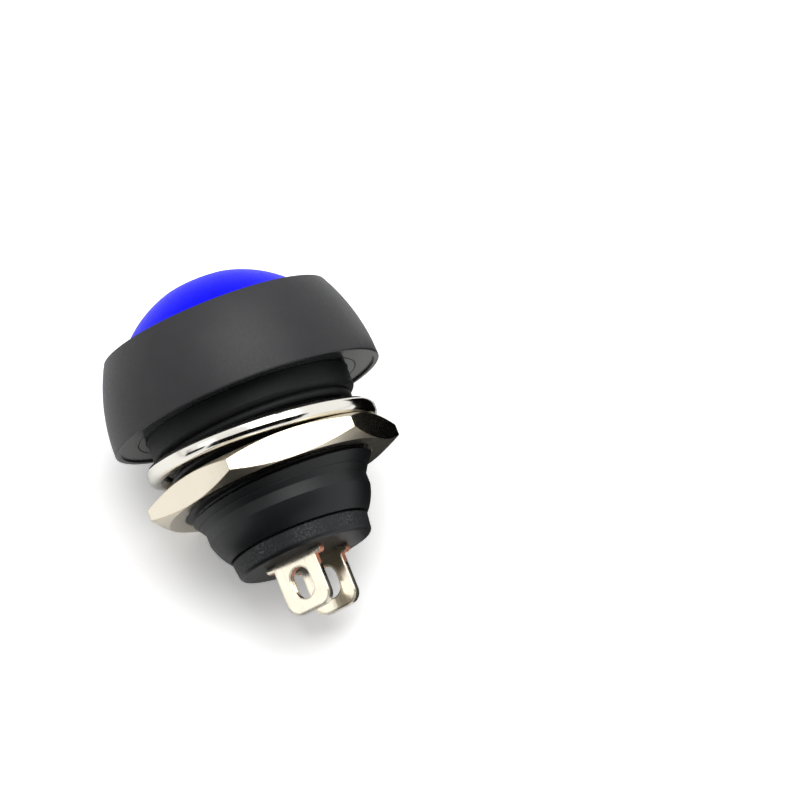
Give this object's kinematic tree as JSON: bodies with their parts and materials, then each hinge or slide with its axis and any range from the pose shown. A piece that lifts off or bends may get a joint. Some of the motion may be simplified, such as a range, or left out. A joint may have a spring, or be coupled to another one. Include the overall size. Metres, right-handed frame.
{
  "type": "momentary push button switch",
  "caption": "Panel-mount momentary push button switch with a blue domed cap in a black domed bezel, a threaded barrel with hex nut and ring washer, and flat solder terminals.",
  "frame": {"origin": "on the button's axis in the panel's front face, where the land on the bezel's underside seats", "axes": "+Z along the button's axis, out of the panel towards the finger; the terminals' wide faces look along Y"},
  "size_m": [0.017, 0.017, 0.0213],
  "materials": {
    "bezel": "fine matte black",
    "housing": "satin black",
    "cap": "satin gloss blue",
    "plunger": "natural white nylon",
    "rubber": "matte black rubber",
    "spring_steel": "bright drawn wire",
    "copper": "rolled copper alloy",
    "silver": "silver contact metal",
    "nickel_brass": "nickel plated, copper showing at the cut edges",
    "plug": "rough dark moulding",
    "washer_plate": "bright nickel",
    "nut_plate": "nickel plate over turned faces"
  },
  "bodies": {
    "switch": {"housing": "housing", "bezel": "bezel", "seal_retainer": "plunger", "plunger_seal": "rubber", "rear_plug": "plug", "terminal_front": "nickel_brass", "terminal_back": "nickel_brass", "fixed_contact_front": "silver", "fixed_contact_back": "silver", "panel_gasket": "rubber", "return_spring": "spring_steel"},
    "button": {"button_cap": "cap", "plunger": "plunger", "contact_spring": "spring_steel", "contact_bridge": "copper", "bridge_clip": "spring_steel", "moving_contact_front": "silver", "moving_contact_back": "silver"},
    "washer": {"ring_washer": "washer_plate"},
    "nut": {"hex_nut": "nut_plate"}
  },
  "joints": [
    {"name": "button_press", "type": "slide", "parent": "switch", "child": "button", "axis": [0, 0, -1], "range_m": [0, 0.0016], "stiffness_N_per_m": 900, "springref_m": -0.001, "deforming": ["return_spring"]},
    {"name": "washer_travel", "type": "slide", "parent": "switch", "child": "washer", "axis": [0, 0, 1], "range_m": [-0.0018, 0.0002]},
    {"name": "nut_turn", "type": "hinge", "parent": "washer", "child": "nut", "pos_m": [0, 0, -0.0043], "axis": [0, 0, 1], "range_deg": [-650, 74]}
  ],
  "couplings": [
    {"joint": "nut_turn", "follows": "washer_travel", "rad_per_m": 6283.2}
  ]
}
